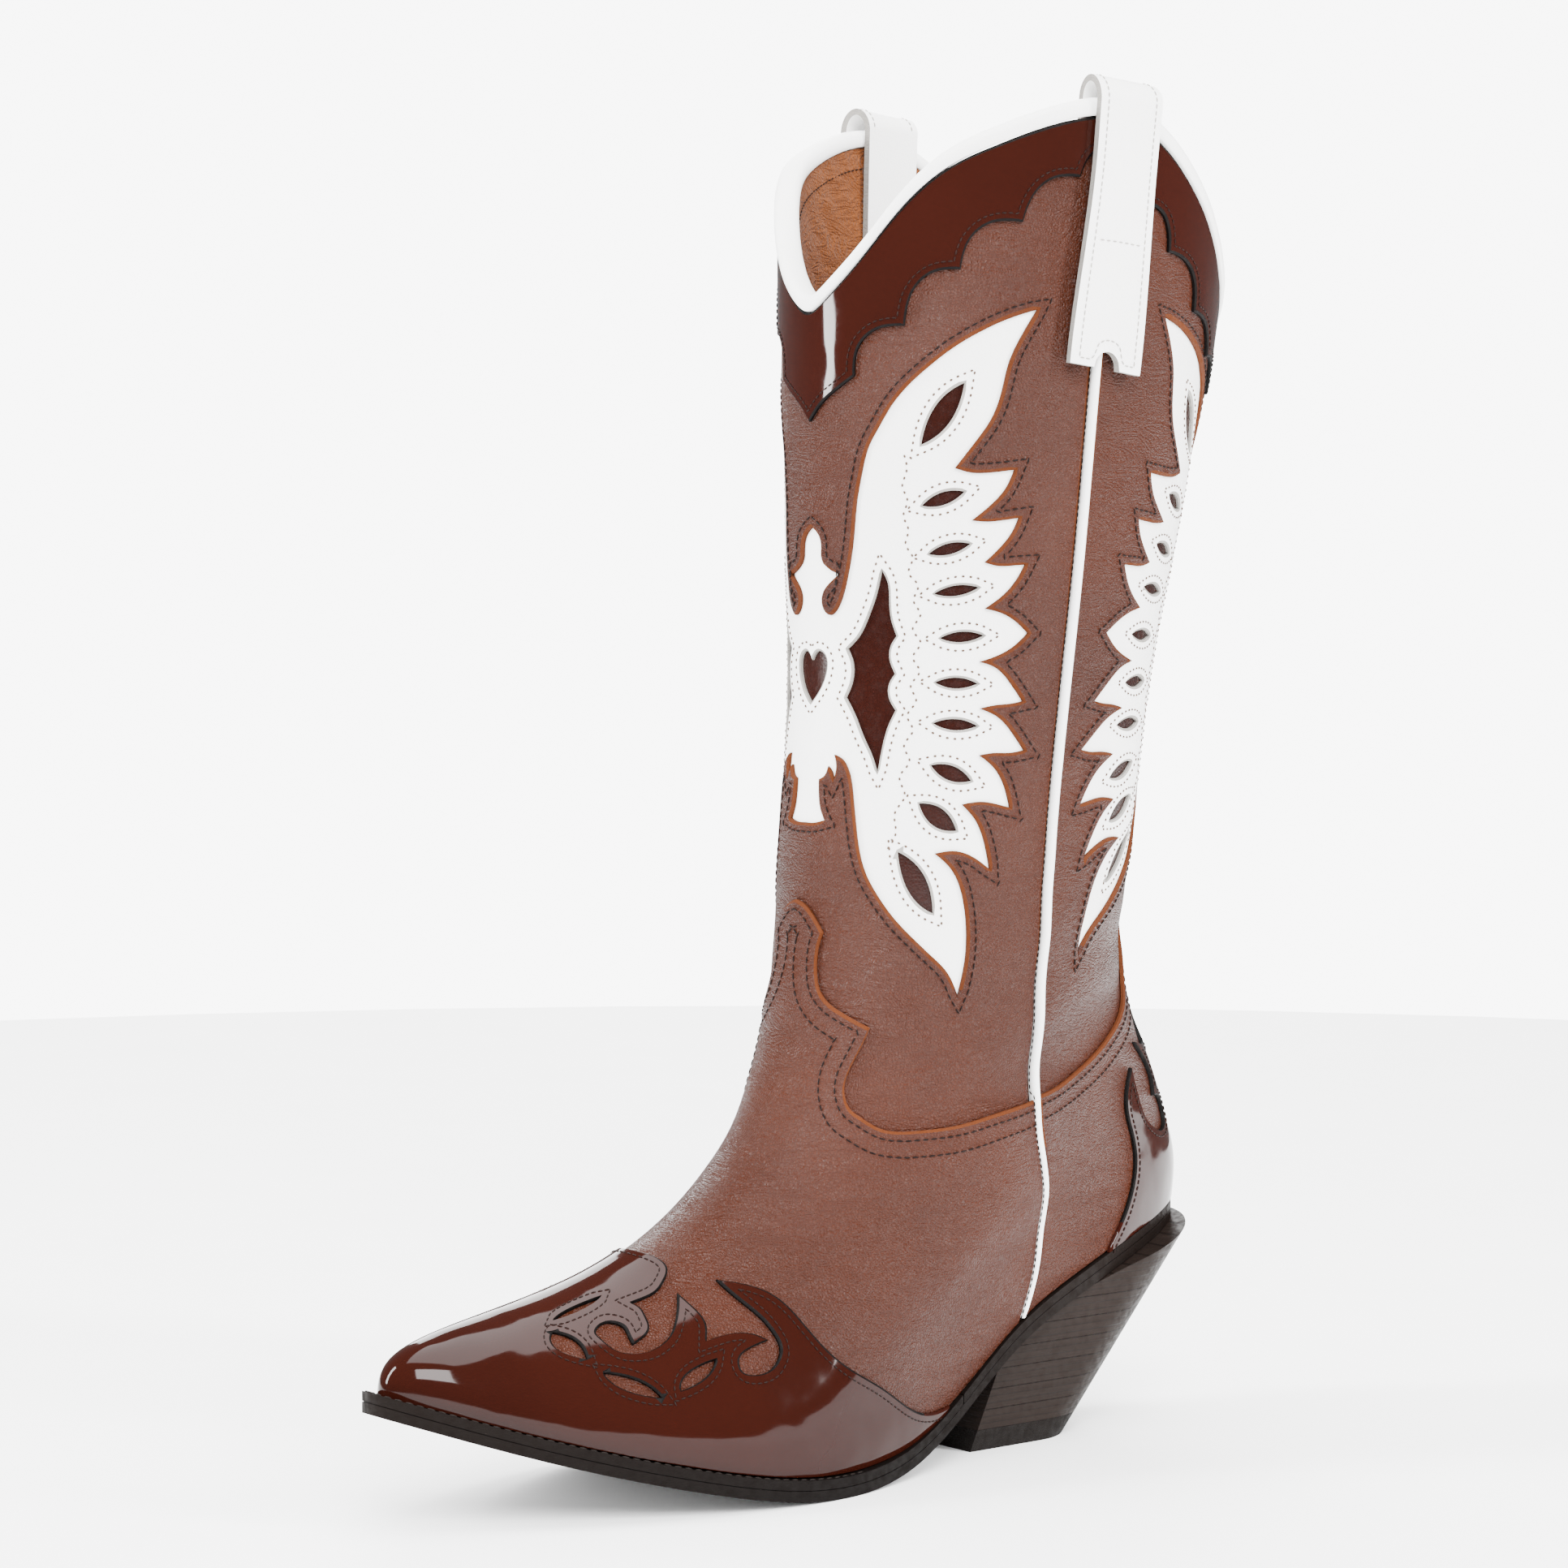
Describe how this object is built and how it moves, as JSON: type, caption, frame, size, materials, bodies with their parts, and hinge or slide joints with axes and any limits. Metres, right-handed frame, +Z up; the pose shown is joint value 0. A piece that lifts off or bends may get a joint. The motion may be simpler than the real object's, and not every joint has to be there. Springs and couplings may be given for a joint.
{
  "type": "cowboy boot",
  "caption": "Tall western boot with a slanted stacked heel, snipped toe, V-dipped topline, winged leather inlay and two pull straps.",
  "frame": {"origin": "centre of the boot's bounding box in plan, on the ground under the heel and the ball of the sole", "axes": "+X towards the toe, +Y towards the outer (little toe) side, +Z up the shaft"},
  "size_m": [0.2914, 0.12, 0.396],
  "materials": {
    "panel_leather": "warm mid-brown satin calf leather, fine grain",
    "white_leather": "white smooth leather",
    "backing_patent": "very dark brown glossy leather behind the inlay",
    "collar_patent": "very dark brown glossy patent leather",
    "cap_patent": "dark reddish-brown glossy patent leather",
    "lining_leather": "tan lining leather, matt and wrinkled",
    "stiffener": "stiffened felt",
    "insole": "vegetable-tanned insole leather",
    "cork": "pressed cork",
    "sole_leather": "dark brown-black dressed sole leather, matt",
    "heel_stack": "stacked leather lifts, dressed dark brown, matt",
    "top_lift": "black rubber top lift",
    "steel": "plain steel"
  },
  "bodies": {
    "boot": {"shaft_front_panel": "panel_leather", "shaft_back_panel": "panel_leather", "wing_inlay_front": "white_leather", "wing_inlay_back": "white_leather", "inlay_backing_front": "backing_patent", "inlay_backing_back": "backing_patent", "shaft_lining_front": "lining_leather", "shaft_lining_back": "lining_leather", "collar_front": "collar_patent", "collar_back": "collar_patent", "topline_binding_front": "white_leather", "topline_binding_back": "white_leather", "side_piping_outer": "white_leather", "side_piping_inner": "white_leather", "vamp": "panel_leather", "heel_cover": "panel_leather", "toe_cap": "cap_patent", "heel_overlay": "cap_patent", "toe_puff": "stiffener", "counter_stiffener": "stiffener", "vamp_lining": "lining_leather", "heel_lining": "lining_leather", "pull_strap_outer": "white_leather", "pull_strap_inner": "white_leather", "sock_liner": "lining_leather", "insole_board": "insole", "cork_filler": "cork", "shank": "steel", "welt": "sole_leather", "heel_rand": "sole_leather", "outsole": "sole_leather", "heel_lifts": "heel_stack", "top_lift": "top_lift", "heel_screw": "steel", "heel_nails": "steel"},
    "outer_loop": {"pull_loop_outer": "white_leather"},
    "inner_loop": {"pull_loop_inner": "white_leather"}
  },
  "joints": [
    {"name": "outer_loop_swing", "type": "hinge", "parent": "boot", "child": "outer_loop", "pos_m": [-0.0716, 0.05279, 0.38882], "axis": [1, 0, 0], "range_deg": [-20, 20]},
    {"name": "inner_loop_swing", "type": "hinge", "parent": "boot", "child": "inner_loop", "pos_m": [-0.0716, -0.05279, 0.38882], "axis": [1, 0, 0], "range_deg": [-20, 20]}
  ]
}
